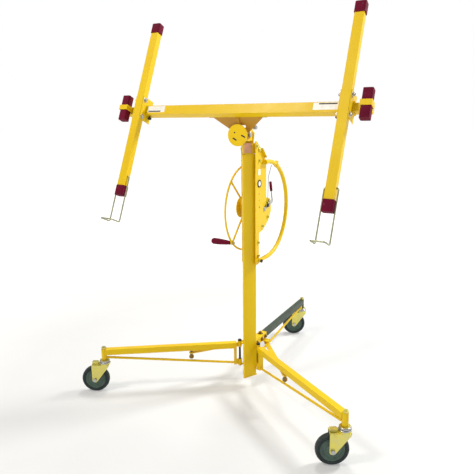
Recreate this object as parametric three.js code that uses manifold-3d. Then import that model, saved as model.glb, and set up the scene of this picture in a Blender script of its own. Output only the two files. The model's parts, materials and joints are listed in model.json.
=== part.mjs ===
// Drywall lift: a folding tripod base on casters, a three-section telescoping mast raised by a
// hand-wheel winch, and a tilting cradle whose two crossarms carry a sheet of plasterboard.
// Millimetres, +Z up. The lift faces -Y: that is the side where the board is loaded.
import * as THREE from 'three';
import * as BufferGeometryUtils from 'three/addons/utils/BufferGeometryUtils.js';
import Module from 'manifold-3d';

const wasm = await Module();
wasm.setup();

// ---- driving dimensions ----------------------------------------------------------------------
const GAP = 0.3;                     // clearance between neighbouring solids
const PLATE = 4;                     // common steel plate thickness

const MAST_INRADIUS = 21.6;          // outer mast: equilateral triangle, centre to flat
const MAST_WALL = 2;
const REAR_FACE = MAST_INRADIUS + 0.4;    // where the base and winch are fastened
const MAST_CORNER = 5;
const MAST_BOTTOM = 60;
const MAST_TOP = 1087;
const INNER_SHIFT = -3.2;            // the sliding sections sit forward, leaving a cable way behind
const MIDDLE_INRADIUS = 16.6;
const MIDDLE_BOTTOM = 72;
const MIDDLE_TOP = 1105;
const INNER_INRADIUS = 12.6;
const INNER_BOTTOM = 84;
const INNER_TOP = 1134;

const LEG_TUBE = 27;                 // square tube of the legs
const LEG_TOP = 209;
const LEG_UNDER = LEG_TOP - LEG_TUBE;
const LEG_REACH = 633;               // hinge pin to caster stem
const REAR_REACH = 687;              // mast axis to rear caster stem
const LEG_ANGLE = 34.2;              // front legs, degrees forward of the X axis
const HINGE_X = 49;
const HINGE_Y = 10;
const HINGE_PIN_R = 5;
const BRACE_ROD_R = 5.5;
const BRACE_LOW = 104;
const BRACE_HIGH = 168;

const WHEEL_R = 63.5;                // 5 inch casters
const WHEEL_WIDTH = 30;
const CASTER_TRAIL = 45;
const CASTER_TOP = 157;
const CASTER_HEADING = 208.5;        // direction in which the parked wheels trail

const STAY_Z = 165;
const STAY_THICK = 5;
const STAY_PIVOT_X = 29;
const STAY_PIVOT_Y = 140;
const STAY_LATCH_REACH = 230;        // along the front leg from its hinge pin

const WINCH_X = 41;                  // outer face of the winch frame's side plates
const WINCH_PLATE = 3;
const AXLE_Y = 92;
const AXLE_Z = 842;
const AXLE_R = 8;
const DRUM_R = 27;
const DRUM_FLANGE_R = 52;
const CABLE_R = 1.5;
const SHEAVE_Y = 36.5;
const SHEAVE_Z = 1112;
const SHEAVE_PITCH_R = 20;
const SHEAVE_R = 22.4;
const RIM_R = 194;                   // crank wheel rim
const RIM_ROD_R = 4.5;
const RIM_X = -54;
const HUB_R = 49;                    // disc outboard of the spokes
const SPOKE_ANGLE = 46;              // first spoke from +Y, the others follow every 90 degrees
const LOOP_X = 54;                   // hand loop beside the winch
const LOOP_Y = 92;
const LOOP_Z = 839;
const LOOP_R = 216;
const LOOP_TUBE_R = 9.5;
const LOOP_FOOT_Y = 2;

const TILT_Y = -40;                  // cradle tilt axis
const TILT_Z = 1176;
const CRADLE_TILT = 66;              // degrees back from level, the loading position
const SIDE_TILT_Z = 1172;
const LATCH_Y = 11;                  // tilt latch on the yoke plate, square to it and along it
const LATCH_Z = 28;
const CROSS_TUBE = 40;
const CROSS_HALF = 492;
const CROSS_Y = 67;                  // cross tube centre from the tilt axis, cradle level
const CROSS_Z = 90;
const ARM_X = 464;
const ARM_WIDTH = 37;
const ARM_DEPTH = 28;
const ARM_HALF = 392;
const CAP_LENGTH = 44;
const CAP_WALL = 3;
const BRACKET_PLATE = 3;
const OUTRIGGER_X = 542;
const OUTRIGGER_ROD = 32;
const PAD_HALF = 56;
const PAD_HALF_WIDTH = 19;
const BAND = PAD_HALF_WIDTH + 3;     // half width of the band round the pad's waist
const HOOK_PIVOT = 88;               // from the arm's lower end
const HOOK_LENGTH = 203;
const HOOK_FOOT = 58;
const HOOK_WIRE_R = 3;

// ---- materials -------------------------------------------------------------------------------
function paint(color, roughness, metalness) {
  return new THREE.MeshStandardMaterial({ color, roughness, metalness });
}
const YELLOW = paint(0xf2c313, 0.45, 0.1);
const DARK_PAINT = paint(0x4b5446, 0.6, 0.2);
const MAROON = paint(0x6b1526, 0.7, 0);
const ZINC = paint(0xb9b9b4, 0.35, 0.9);
const GOLD_ZINC = paint(0xcfae5c, 0.4, 0.8);
const BLACK_STEEL = paint(0x2b2b2b, 0.5, 0.6);
const WHEEL_RUBBER = paint(0x33403a, 0.75, 0);
const CABLE_STEEL = paint(0x9a9a95, 0.45, 0.9);
const NYLON = paint(0x3a3f3a, 0.6, 0);

// ---- solids ----------------------------------------------------------------------------------
const lift = new THREE.Group();

function toSolid(geometry) {
  const bare = geometry.index ? geometry.toNonIndexed() : geometry.clone();
  bare.deleteAttribute('normal');
  bare.deleteAttribute('uv');
  const merged = BufferGeometryUtils.mergeVertices(bare, 1e-4);
  const vertProperties = new Float32Array(merged.attributes.position.array);
  const triVerts = new Uint32Array(merged.index.array);
  return new wasm.Manifold(new wasm.Mesh({ numProp: 3, vertProperties, triVerts }));
}

function toGeometry(solid) {
  const mesh = solid.getMesh();
  const geometry = new THREE.BufferGeometry();
  geometry.setAttribute('position', new THREE.BufferAttribute(mesh.vertProperties, 3));
  geometry.setIndex(new THREE.BufferAttribute(mesh.triVerts, 1));
  geometry.computeVertexNormals();
  return geometry;
}

function join(geometries, cuts = []) {
  let solid = toSolid(geometries[0]);
  for (const geometry of geometries.slice(1)) {
    solid = solid.add(toSolid(geometry));
  }
  for (const geometry of cuts) {
    solid = solid.subtract(toSolid(geometry));
  }
  return toGeometry(solid);
}

function addNode(name, geometry, material, parent = lift) {
  const mesh = new THREE.Mesh(geometry, material);
  mesh.name = name;
  parent.add(mesh);
  return mesh;
}

// Box from its low and high corners.
function block(x0, x1, y0, y1, z0, z1) {
  const geometry = new THREE.BoxGeometry(x1 - x0, y1 - y0, z1 - z0);
  return geometry.translate((x0 + x1) / 2, (y0 + y1) / 2, (z0 + z1) / 2);
}

// Round bar between two points given as [x, y, z].
function rod(radius, from, to, sides = 16) {
  const start = new THREE.Vector3(...from);
  const end = new THREE.Vector3(...to);
  const along = end.clone().sub(start);
  const geometry = new THREE.CylinderGeometry(radius, radius, along.length(), sides);
  const turn = new THREE.Quaternion().setFromUnitVectors(
    new THREE.Vector3(0, 1, 0), along.clone().normalize());
  geometry.applyQuaternion(turn);
  const middle = start.add(end).multiplyScalar(0.5);
  return geometry.translate(middle.x, middle.y, middle.z);
}

// Flat plate: an outline in the XY plane between two heights.
function slab(shape, z0, z1, curveSegments = 6) {
  const geometry = new THREE.ExtrudeGeometry(shape, {
    depth: z1 - z0, bevelEnabled: false, curveSegments });
  return geometry.translate(0, 0, z0);
}

// Flat plate: an outline in the YZ plane between two X positions.
function sidePlate(shape, x0, x1, curveSegments = 6) {
  const geometry = slab(shape, x0, x1, curveSegments);
  geometry.rotateX(Math.PI / 2);
  return geometry.rotateZ(Math.PI / 2);
}

// Flat plate: an outline in the XZ plane between two Y positions.
function frontPlate(shape, y0, y1, curveSegments = 6) {
  const geometry = slab(shape, -y1, -y0, curveSegments);
  return geometry.rotateX(Math.PI / 2);
}

function polygon(points) {
  return new THREE.Shape(points.map(([x, y]) => new THREE.Vector2(x, y)));
}

function disc(x, y, radius) {
  const shape = new THREE.Shape();
  shape.absarc(x, y, radius, 0, 2 * Math.PI);
  return shape;
}

// Round bar through a list of Vector3 points, with one ring of vertices at each point.
function bentRod(radius, points, sides = 8) {
  const steps = points.slice(1).map((point, i) => point.clone().sub(points[i]).normalize());
  const tangents = points.map((_, i) => {
    const after = steps[Math.min(i, steps.length - 1)];
    return steps[Math.max(i - 1, 0)].clone().add(after).normalize();
  });
  const normal = new THREE.Vector3(0.6, 0.48, 0.64).cross(tangents[0]).normalize();
  const positions = [];
  const index = [];
  points.forEach((point, i) => {
    if (i > 0) {
      normal.applyQuaternion(new THREE.Quaternion().setFromUnitVectors(tangents[i - 1], tangents[i]));
    }
    const across = tangents[i].clone().cross(normal);
    for (let k = 0; k < sides; k += 1) {
      const angle = 2 * Math.PI * k / sides;
      const offset = normal.clone().multiplyScalar(radius * Math.cos(angle));
      offset.addScaledVector(across, radius * Math.sin(angle)).add(point);
      positions.push(...offset.toArray());
    }
  });
  const last = (points.length - 1) * sides;
  for (let base = 0; base < last; base += sides) {
    for (let k = 0; k < sides; k += 1) {
      const next = (k + 1) % sides;
      index.push(base + k, base + next, base + sides + next);
      index.push(base + k, base + sides + next, base + sides + k);
    }
  }
  for (let k = 1; k < sides - 1; k += 1) {
    index.push(0, k + 1, k, last, last + k, last + k + 1);
  }
  const geometry = new THREE.BufferGeometry();
  geometry.setAttribute('position', new THREE.Float32BufferAttribute(positions, 3));
  geometry.setIndex(index);
  return geometry;
}

// Points of a wire bent at each corner in turn.
function bentPath(corners, bend) {
  const points = corners.map((corner) => new THREE.Vector3(...corner));
  const path = [points[0]];
  for (let i = 1; i < points.length - 1; i += 1) {
    const before = points[i - 1].clone().sub(points[i]).setLength(bend).add(points[i]);
    const after = points[i + 1].clone().sub(points[i]).setLength(bend).add(points[i]);
    path.push(...new THREE.QuadraticBezierCurve3(before, points[i], after).getPoints(4));
  }
  path.push(points[points.length - 1]);
  return path;
}

// Turned part: a closed profile of [radius, height] points about the Z axis.
function turned(profile, sides) {
  const closed = profile.concat([profile[0]]);
  const points = closed.map(([radius, height]) => new THREE.Vector2(radius, height));
  return new THREE.LatheGeometry(points, sides).rotateX(Math.PI / 2);
}

function alongX(geometry) {
  return geometry.rotateY(Math.PI / 2);
}

function radians(degrees) {
  return degrees * Math.PI / 180;
}

// ---- mast ------------------------------------------------------------------------------------
// Rounded triangle with a flat towards +Y and a corner towards -Y.
function triangleShape(inradius, corner, Path = THREE.Shape) {
  const shape = new Path();
  const reach = 2 * (inradius - corner);
  for (const heading of [270, 30, 150]) {
    const x = reach * Math.cos(radians(heading));
    const y = reach * Math.sin(radians(heading));
    shape.absarc(x, y, corner, radians(heading - 60), radians(heading + 60), false);
  }
  shape.closePath();
  return shape;
}

function triangleTube(inradius, z0, z1) {
  const shape = triangleShape(inradius, MAST_CORNER);
  shape.holes.push(triangleShape(inradius - MAST_WALL, MAST_CORNER - MAST_WALL, THREE.Path));
  return slab(shape, z0, z1, 4);
}

function buildMast() {
  const foot = slab(triangleShape(MAST_INRADIUS + 1.5, MAST_CORNER), MAST_BOTTOM - 5, MAST_BOTTOM, 4);
  const outer = join([triangleTube(MAST_INRADIUS, MAST_BOTTOM - 1, MAST_TOP), foot]);
  addNode('outer_mast', outer, YELLOW);
  const middle = triangleTube(MIDDLE_INRADIUS, MIDDLE_BOTTOM, MIDDLE_TOP);
  addNode('middle_mast', middle, YELLOW).position.y = INNER_SHIFT;
  const inner = triangleTube(INNER_INRADIUS, INNER_BOTTOM, INNER_TOP);
  addNode('inner_mast', inner, YELLOW).position.y = INNER_SHIFT;

  const collarFoot = MAST_TOP + GAP;
  const collar = slab(triangleShape(MAST_INRADIUS + 1.2, MAST_CORNER), collarFoot, collarFoot + 6, 4);
  const bore = slab(triangleShape(MIDDLE_INRADIUS + 0.6, MAST_CORNER), collarFoot - 1, collarFoot + 7, 4);
  bore.translate(0, INNER_SHIFT, 0);
  const cableWay = block(-5, 5, 10, 30, collarFoot - 1, collarFoot + 7);
  addNode('mast_guide_collar', join([collar], [bore, cableWay]), YELLOW);
}

// ---- base ------------------------------------------------------------------------------------
function casterStemTube(x) {
  return rod(12, [x, 0, CASTER_TOP + 1], [x, 0, LEG_TOP], 20);
}

function casterStemBore(x) {
  return rod(7, [x, 0, CASTER_TOP - 5], [x, 0, LEG_TOP + 5], 16);
}

// A leg runs along +X from its root: top tube, inner post, lower brace rod and caster stem tube.
function legFrame(root, reach) {
  return [
    block(root, reach - 6, -LEG_TUBE / 2, LEG_TUBE / 2, LEG_UNDER, LEG_TOP),
    block(root, root + 12, -10, 10, BRACE_LOW - 7, LEG_UNDER + 2),
    rod(BRACE_ROD_R, [root + 4, 0, BRACE_LOW], [reach - 2, 0, BRACE_HIGH], 12),
    casterStemTube(reach),
  ];
}

// Front leg with two hinge barrels round its pin, which is the group's origin.
function frontLeg() {
  const barrels = [
    rod(9, [0, 0, LEG_UNDER + 4], [0, 0, LEG_TOP - GAP], 20),
    rod(9, [0, 0, BRACE_LOW - 7], [0, 0, BRACE_LOW + 18], 20),
    block(0, 20, -5, 5, LEG_UNDER + 4, LEG_TOP - 4),
    block(0, 20, -5, 5, BRACE_LOW - 6, BRACE_LOW + 16),
  ];
  const pinBore = rod(HINGE_PIN_R + 0.15, [0, 0, 50], [0, 0, 250], 20);
  return join([...legFrame(16, LEG_REACH), ...barrels], [pinBore, casterStemBore(LEG_REACH)]);
}

// Channel bracket on the mast's rear corner with a lug above and below the leg's barrels.
function hingeBracket(side) {
  const back = REAR_FACE + PLATE;
  const lug = new THREE.Shape();
  lug.moveTo(18, REAR_FACE);
  lug.lineTo(37, REAR_FACE);
  lug.absarc(HINGE_X, HINGE_Y, 10, radians(200), radians(400), false);
  lug.lineTo(38, back);
  lug.lineTo(18, back);
  const pieces = [
    slab(lug, LEG_TOP + GAP, LEG_TOP + GAP + 5),
    slab(lug, BRACE_LOW - 7 - GAP - 5, BRACE_LOW - 7 - GAP),
    block(18, 37, REAR_FACE, back, BRACE_LOW - 12, LEG_TOP + 5),
  ];
  const bore = rod(HINGE_PIN_R + 0.15, [HINGE_X, HINGE_Y, 50], [HINGE_X, HINGE_Y, 250], 20);
  const geometry = join(pieces, [bore]);
  return side > 0 ? geometry : mirrored(geometry);
}

// Mirror across the YZ plane, with the faces turned to point outwards again.
function mirrored(geometry) {
  const copy = geometry.clone().scale(-1, 1, 1);
  const index = copy.index.array;
  for (let i = 0; i < index.length; i += 3) {
    [index[i], index[i + 1]] = [index[i + 1], index[i]];
  }
  return copy;
}

function hingePin() {
  const low = BRACE_LOW - 7 - GAP - 5;
  const high = LEG_TOP + GAP + 5;
  return join([
    rod(HINGE_PIN_R, [0, 0, low - 4], [0, 0, high + 3], 20),
    rod(9, [0, 0, high + GAP], [0, 0, high + 7], 6),
  ]);
}

function rearLeg() {
  const pieces = [
    block(REAR_FACE, REAR_REACH - 6, -LEG_TUBE / 2, LEG_TUBE / 2, LEG_UNDER, LEG_TOP),
    casterStemTube(REAR_REACH),
  ];
  return join(pieces, [casterStemBore(REAR_REACH)]).rotateZ(Math.PI / 2);
}

// Lower brace of the rear leg: post and rod, with the cross plate that carries both stays.
function rearBrace() {
  const under = LEG_UNDER - GAP;
  const near = STAY_PIVOT_Y - 16;
  const far = STAY_PIVOT_Y + 16;
  const plate = polygon([[24, -9], [near, -9], [near, -42], [far, -42], [far, 42], [near, 42],
    [near, 9], [24, 9]]);
  const pieces = [
    slab(plate, under - PLATE, under),
    block(REAR_FACE, 36, -11, 11, BRACE_LOW - 8, under - 1),
    rod(BRACE_ROD_R, [26, 0, BRACE_LOW], [REAR_REACH - 20, 0, BRACE_HIGH - 2], 12),
    block(REAR_REACH - 28, REAR_REACH - 15, -7, 7, BRACE_HIGH - 10, under),
  ];
  const bores = [-STAY_PIVOT_X, STAY_PIVOT_X].map(
    (y) => rod(4.25, [STAY_PIVOT_Y, y, 100], [STAY_PIVOT_Y, y, 200], 12));
  return join(pieces, bores).rotateZ(Math.PI / 2);
}

// Flat tie bar from the rear leg's cross plate to the latch under a front leg.
function stay(length) {
  const bar = new THREE.Shape();
  bar.absarc(0, 0, 11, radians(90), radians(270), false);
  bar.absarc(length, 0, 11, radians(-90), radians(90), false);
  const body = slab(bar, STAY_Z, STAY_Z + STAY_THICK);
  const pivot = rod(4, [0, 0, STAY_Z - 3], [0, 0, LEG_UNDER - GAP - 0.4], 16);
  const head = rod(8, [0, 0, STAY_Z - 5], [0, 0, STAY_Z + 1], 6);
  const latchBore = rod(5.25, [length, 0, STAY_Z - 5], [length, 0, STAY_Z + 10], 16);
  return join([body, pivot, head], [latchBore]);
}

// Sprung pull pin through the stay's free end, with a round pull knob below.
function stayLatch() {
  return join([
    rod(5, [0, 0, STAY_Z - 8], [0, 0, LEG_UNDER - GAP], 16),
    turned([[0.01, -26], [8, -26], [11, -22], [11, -14], [7, -8], [6, -5.3], [0.01, -5.3]], 20)
      .translate(0, 0, STAY_Z),
  ]);
}

function buildBase() {
  addNode('rear_leg', rearLeg(), DARK_PAINT);
  addNode('rear_leg_brace', rearBrace(), YELLOW);
  for (const [side, label] of [[-1, 'left'], [1, 'right']]) {
    const heading = side > 0 ? -LEG_ANGLE : 180 + LEG_ANGLE;
    const hinge = new THREE.Vector3(side * HINGE_X, HINGE_Y, 0);
    const leg = addNode(`${label}_front_leg`, frontLeg(), YELLOW);
    leg.position.copy(hinge);
    leg.rotation.z = radians(heading);
    addNode(`${label}_hinge_bracket`, hingeBracket(side), YELLOW);
    addNode(`${label}_hinge_pin`, hingePin(), BLACK_STEEL).position.copy(hinge);

    const along = new THREE.Vector3(Math.cos(radians(heading)), Math.sin(radians(heading)), 0);
    const latch = along.clone().multiplyScalar(STAY_LATCH_REACH).add(hinge);
    const pivot = new THREE.Vector3(side * STAY_PIVOT_X, STAY_PIVOT_Y, 0);
    const reach = latch.clone().sub(pivot);
    const bar = addNode(`${label}_stay`, stay(reach.length()), YELLOW);
    bar.position.copy(pivot);
    bar.rotation.z = Math.atan2(reach.y, reach.x);
    addNode(`${label}_stay_latch`, stayLatch(), BLACK_STEEL).position.copy(latch);

    buildCaster(`${label}_front`, along.multiplyScalar(LEG_REACH).add(hinge));
  }
  buildCaster('rear', new THREE.Vector3(0, REAR_REACH, 0));
}

// ---- casters ---------------------------------------------------------------------------------
// Swivel fork: top plate, two legs trailing to the axle, raceway and threaded stem with its nut.
function casterFork() {
  const legInner = WHEEL_WIDTH / 2 + 4;
  const crown = WHEEL_R * 2 + 8;
  const leg = new THREE.Shape();
  leg.moveTo(-CASTER_TRAIL - 13, crown);
  leg.lineTo(22, crown);
  leg.lineTo(20, crown - 8);
  leg.lineTo(-CASTER_TRAIL + 12, WHEEL_R - 6);
  leg.absarc(-CASTER_TRAIL, WHEEL_R, 13, radians(-30), radians(-165), true);
  leg.closePath();
  const pieces = [frontPlate(leg, legInner, legInner + 3), frontPlate(leg, -legInner - 3, -legInner),
    block(-CASTER_TRAIL - 13, 22, -legInner - 3, legInner + 3, crown - 3, crown),
    block(-CASTER_TRAIL - 11, -CASTER_TRAIL + 15, -9, 9, crown - 1, crown + 13),
    rod(24, [0, 0, crown - 1], [0, 0, crown + 6], 28),
    rod(20, [0, 0, crown + 5], [0, 0, CASTER_TOP], 24),
    rod(6, [0, 0, CASTER_TOP - 2], [0, 0, LEG_TOP + 12], 16),
    rod(11, [0, 0, LEG_TOP + GAP], [0, 0, LEG_TOP + 9], 6)];
  const axleBore = rod(5.2, [-CASTER_TRAIL, -40, WHEEL_R], [-CASTER_TRAIL, 40, WHEEL_R], 16);
  return join(pieces, [axleBore]);
}

function casterWheel() {
  const half = WHEEL_WIDTH / 2;
  const hubHalf = half + 2.5;
  const profile = [[5.3, -hubHalf], [16, -hubHalf], [18, -half + 3], [40, -half + 5],
    [45, -half + 1], [58, -half], [WHEEL_R, -half + 8], [WHEEL_R, half - 8], [58, half],
    [45, half - 1], [40, half - 5], [18, half - 3], [16, hubHalf], [5.3, hubHalf]];
  return turned(profile, 32).rotateX(Math.PI / 2);
}

function casterAxle() {
  const end = WHEEL_WIDTH / 2 + 4 + 3;
  return join([
    rod(5, [0, -end - 6, 0], [0, end + 5, 0], 16),
    rod(9, [0, end + GAP, 0], [0, end + 6, 0], 6),
    rod(9, [0, -end - 7, 0], [0, -end - GAP, 0], 6),
  ]);
}

function buildCaster(label, stem) {
  const swivel = new THREE.Group();
  swivel.position.copy(stem);
  swivel.rotation.z = radians(CASTER_HEADING - 180);
  lift.add(swivel);
  addNode(`${label}_caster_fork`, casterFork(), GOLD_ZINC, swivel);
  const wheel = addNode(`${label}_caster_wheel`, casterWheel(), WHEEL_RUBBER, swivel);
  wheel.position.set(-CASTER_TRAIL, 0, WHEEL_R);
  const axle = addNode(`${label}_caster_axle`, casterAxle(), ZINC, swivel);
  axle.position.set(-CASTER_TRAIL, 0, WHEEL_R);
}

// ---- winch -----------------------------------------------------------------------------------
// Channel with its web on the mast's rear flat. Its side plates reach round the mast, carry the
// drum and sheave, and have a flange turned outwards along the sloping top edge.
function winchFrame() {
  const outline = polygon([[0, 1147], [14, 1147], [42, 1124], [107, 1058], [108, 893], [150, 882], [160, 858],
    [160, 822], [136, 786], [100, 762], [72, 747], [36, 742], [32, 600], [0, 600]]);
  const hidden = polygon([[23, 1139], [42, 1124], [107, 1058], [108, 893], [150, 882], [160, 858],
    [160, 822], [136, 786], [100, 762], [72, 747], [36, 742], [32, 600], [23, 600]]);
  const inner = WINCH_X - WINCH_PLATE;
  const flange = polygon([[50, 1113], [90, 1072.4], [92, 1075.4], [52, 1116]]);
  const pieces = [
    sidePlate(outline, inner, WINCH_X),
    sidePlate(hidden, -WINCH_X, -inner),
    sidePlate(flange, inner, WINCH_X + 12),
    block(-inner - 1, inner + 1, REAR_FACE, REAR_FACE + WINCH_PLATE, 610, 1060),
  ];
  const cuts = [
    rod(AXLE_R + 0.15, [-60, AXLE_Y, AXLE_Z], [60, AXLE_Y, AXLE_Z], 24),
    rod(5.3, [-60, SHEAVE_Y, SHEAVE_Z], [60, SHEAVE_Y, SHEAVE_Z], 20),
    rod(10, [0, 36, 963], [60, 36, 963], 24),
  ];
  for (const z of [859, 888, 917]) {
    cuts.push(rod(4, [0, 38, z], [60, 38, z], 12));
  }
  return join(pieces, cuts);
}

function winchDrum() {
  const flange = 4;
  const half = WINCH_X - WINCH_PLATE - 2;
  const profile = [[AXLE_R + GAP, -half], [DRUM_FLANGE_R, -half], [DRUM_FLANGE_R, -half + flange],
    [DRUM_R, -half + flange], [DRUM_R, half - flange], [DRUM_FLANGE_R, half - flange],
    [DRUM_FLANGE_R, half], [AXLE_R + GAP, half]];
  return alongX(turned(profile, 32));
}

// Axle through the frame, with a hex head at the right and a shoulder for the crank wheel.
function winchAxle() {
  return join([
    rod(AXLE_R, [RIM_X - 32, 0, 0], [WINCH_X + 3.5, 0, 0], 24),
    rod(11, [WINCH_X + GAP, 0, 0], [WINCH_X + 3.5, 0, 0], 6),
  ]);
}

// Cable drum load brake: a ratchet disc between the frame and the crank wheel.
function brakeDisc() {
  const teeth = new THREE.Shape();
  const count = 24;
  for (let i = 0; i < count; i += 1) {
    const angle = i * 2 * Math.PI / count;
    const next = (i + 0.15) * 2 * Math.PI / count;
    teeth[i ? 'lineTo' : 'moveTo'](44 * Math.cos(angle), 44 * Math.sin(angle));
    teeth.lineTo(39 * Math.cos(next), 39 * Math.sin(next));
  }
  teeth.closePath();
  const bore = new THREE.Path();
  bore.absarc(0, 0, AXLE_R + GAP, 0, 2 * Math.PI);
  teeth.holes.push(bore);
  return sidePlate(teeth, -WINCH_X - 7, -WINCH_X - 2);
}

// Hand wheel: round rim, four spokes, hub with its outboard disc, and the stud for the grip.
function crankWheel() {
  const rim = new THREE.TorusGeometry(RIM_R, RIM_ROD_R, 8, 48).rotateY(Math.PI / 2);
  const pieces = [rim, rod(38, [-3, 0, 0], [3, 0, 0], 28), rod(16, [-24, 0, 0], [6, 0, 0], 20),
    rod(HUB_R, [-27, 0, 0], [-22, 0, 0], 36)];
  for (let i = 0; i < 4; i += 1) {
    const angle = radians(SPOKE_ANGLE + 90 * i);
    const y = Math.cos(angle);
    const z = Math.sin(angle);
    pieces.push(rod(RIM_ROD_R, [0, 30 * y, 30 * z], [0, RIM_R * y, RIM_R * z], 8));
  }
  const grip = gripPoint();
  pieces.push(rod(9, [-5, grip.y, grip.z], [5, grip.y, grip.z], 16));
  pieces.push(rod(5, [-107, grip.y, grip.z], [0, grip.y, grip.z], 16));
  return join(pieces, [rod(AXLE_R + GAP, [-40, 0, 0], [40, 0, 0], 24)]);
}

function gripPoint() {
  const angle = radians(SPOKE_ANGLE + 180);
  return new THREE.Vector3(0, RIM_R * Math.cos(angle), RIM_R * Math.sin(angle));
}

function crankGrip() {
  const profile = [[5.3, 0], [7.5, 0], [9, 6], [11, 26], [13, 56], [14, 78], [13, 90], [10, 97],
    [6, 99], [5.3, 99]];
  return turned(profile, 20).rotateY(-Math.PI / 2);
}

// Lever of the lowering brake: flat arm, bent rod and a small grip.
function brakeLever() {
  const arm = new THREE.Shape();
  arm.absarc(0, 0, 12, radians(160), radians(300), false);
  arm.lineTo(58, 6);
  arm.lineTo(58, 20);
  arm.closePath();
  const x = WINCH_X + 4;
  return join([
    sidePlate(arm, x, x + 4),
    rod(3, [x + 2, 54, 13], [x + 2, 42, 62], 10),
    rod(5.5, [x + 2, 42.5, 60], [x + 2, 32, 103], 12),
  ], [rod(5.3, [x - 5, 0, 0], [x + 10, 0, 0], 16)]);
}

function handLoop() {
  const top = LOOP_Z + LOOP_R;
  const low = LOOP_Z - LOOP_R;
  const points = [new THREE.Vector3(LOOP_X, LOOP_FOOT_Y, low)];
  for (let i = 0; i <= 24; i += 1) {
    const angle = radians(-90 + i * 7.5);
    points.push(new THREE.Vector3(
      LOOP_X, LOOP_Y + LOOP_R * Math.cos(angle), LOOP_Z + LOOP_R * Math.sin(angle)));
  }
  points.push(new THREE.Vector3(LOOP_X, LOOP_Y - 22, top));
  const inner = WINCH_X + GAP;
  return join([
    bentRod(LOOP_TUBE_R, points, 12),
    block(inner, LOOP_X, 64, 98, top - 8, top + 2),
    block(inner, LOOP_X, LOOP_FOOT_Y - 4, LOOP_FOOT_Y + 20, low - 7, low + 7),
  ]);
}

function handLoopBolt() {
  return join([
    rod(4, [WINCH_X + LOOP_TUBE_R * 2 + 4, 0, 0], [WINCH_X + 26, 0, 0], 12),
    rod(8, [WINCH_X + LOOP_TUBE_R * 2 + 4, 0, 0], [WINCH_X + 30, 0, 0], 6),
  ]);
}

function sheave() {
  const groove = SHEAVE_PITCH_R - CABLE_R - GAP;
  const profile = [[5.3, -6], [SHEAVE_R, -6], [SHEAVE_R, -4], [groove, -2.2], [groove, 2.2],
    [SHEAVE_R, 4], [SHEAVE_R, 6], [5.3, 6]];
  return alongX(turned(profile, 32));
}

function sheavePin() {
  return join([
    rod(5, [-WINCH_X - 6, 0, 0], [WINCH_X + 4, 0, 0], 20),
    rod(9, [WINCH_X + GAP, 0, 0], [WINCH_X + 6, 0, 0], 6),
    rod(9, [-WINCH_X - 6, 0, 0], [-WINCH_X - GAP, 0, 0], 6),
  ]);
}

// Lifting cable: from the drum's rear-most turn up over the sheave and down behind the middle mast.
function liftCable() {
  const wrap = DRUM_R + CABLE_R + GAP;
  const down = SHEAVE_Y - SHEAVE_PITCH_R;
  const back = SHEAVE_Y + SHEAVE_PITCH_R;
  const points = [[0, AXLE_Y - wrap, AXLE_Z + 3], [0, back, SHEAVE_Z - 3]];
  for (let i = 0; i <= 12; i += 1) {
    const angle = radians(i * 15);
    points.push([0, SHEAVE_Y + SHEAVE_PITCH_R * Math.cos(angle),
      SHEAVE_Z + SHEAVE_PITCH_R * Math.sin(angle)]);
  }
  points.push([0, down, MIDDLE_BOTTOM + 12]);
  return bentRod(CABLE_R, points.map((point) => new THREE.Vector3(...point)), 8);
}

function buildWinch() {
  const axle = new THREE.Vector3(0, AXLE_Y, AXLE_Z);
  addNode('winch_frame', winchFrame(), YELLOW);
  addNode('winch_drum', winchDrum(), ZINC).position.copy(axle);
  addNode('winch_axle', winchAxle(), ZINC).position.copy(axle);
  addNode('winch_brake_disc', brakeDisc(), BLACK_STEEL).position.copy(axle);
  const wheel = addNode('crank_wheel', crankWheel(), YELLOW);
  wheel.position.set(RIM_X, AXLE_Y, AXLE_Z);
  const grip = gripPoint();
  const handle = addNode('crank_grip', crankGrip(), MAROON);
  handle.position.set(RIM_X - 6, AXLE_Y + grip.y, AXLE_Z + grip.z);
  addNode('brake_lever', brakeLever(), ZINC).position.set(0, 107, 857);
  const brakePin = join([
    rod(5, [WINCH_X + GAP, 0, 0], [WINCH_X + 12, 0, 0], 16),
    rod(9, [WINCH_X + 8 + GAP, 0, 0], [WINCH_X + 13, 0, 0], 6),
  ]);
  addNode('brake_lever_pin', brakePin, BLACK_STEEL).position.set(0, 107, 857);
  addNode('hand_loop', handLoop(), YELLOW);
  const bolt = addNode('hand_loop_bolt', handLoopBolt(), BLACK_STEEL);
  bolt.position.set(0, LOOP_FOOT_Y + 2, LOOP_Z - LOOP_R);
  addNode('top_sheave', sheave(), NYLON).position.set(0, SHEAVE_Y, SHEAVE_Z);
  addNode('top_sheave_pin', sheavePin(), BLACK_STEEL).position.set(0, SHEAVE_Y, SHEAVE_Z);
  addNode('lift_cable', liftCable(), CABLE_STEEL);
}

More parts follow.
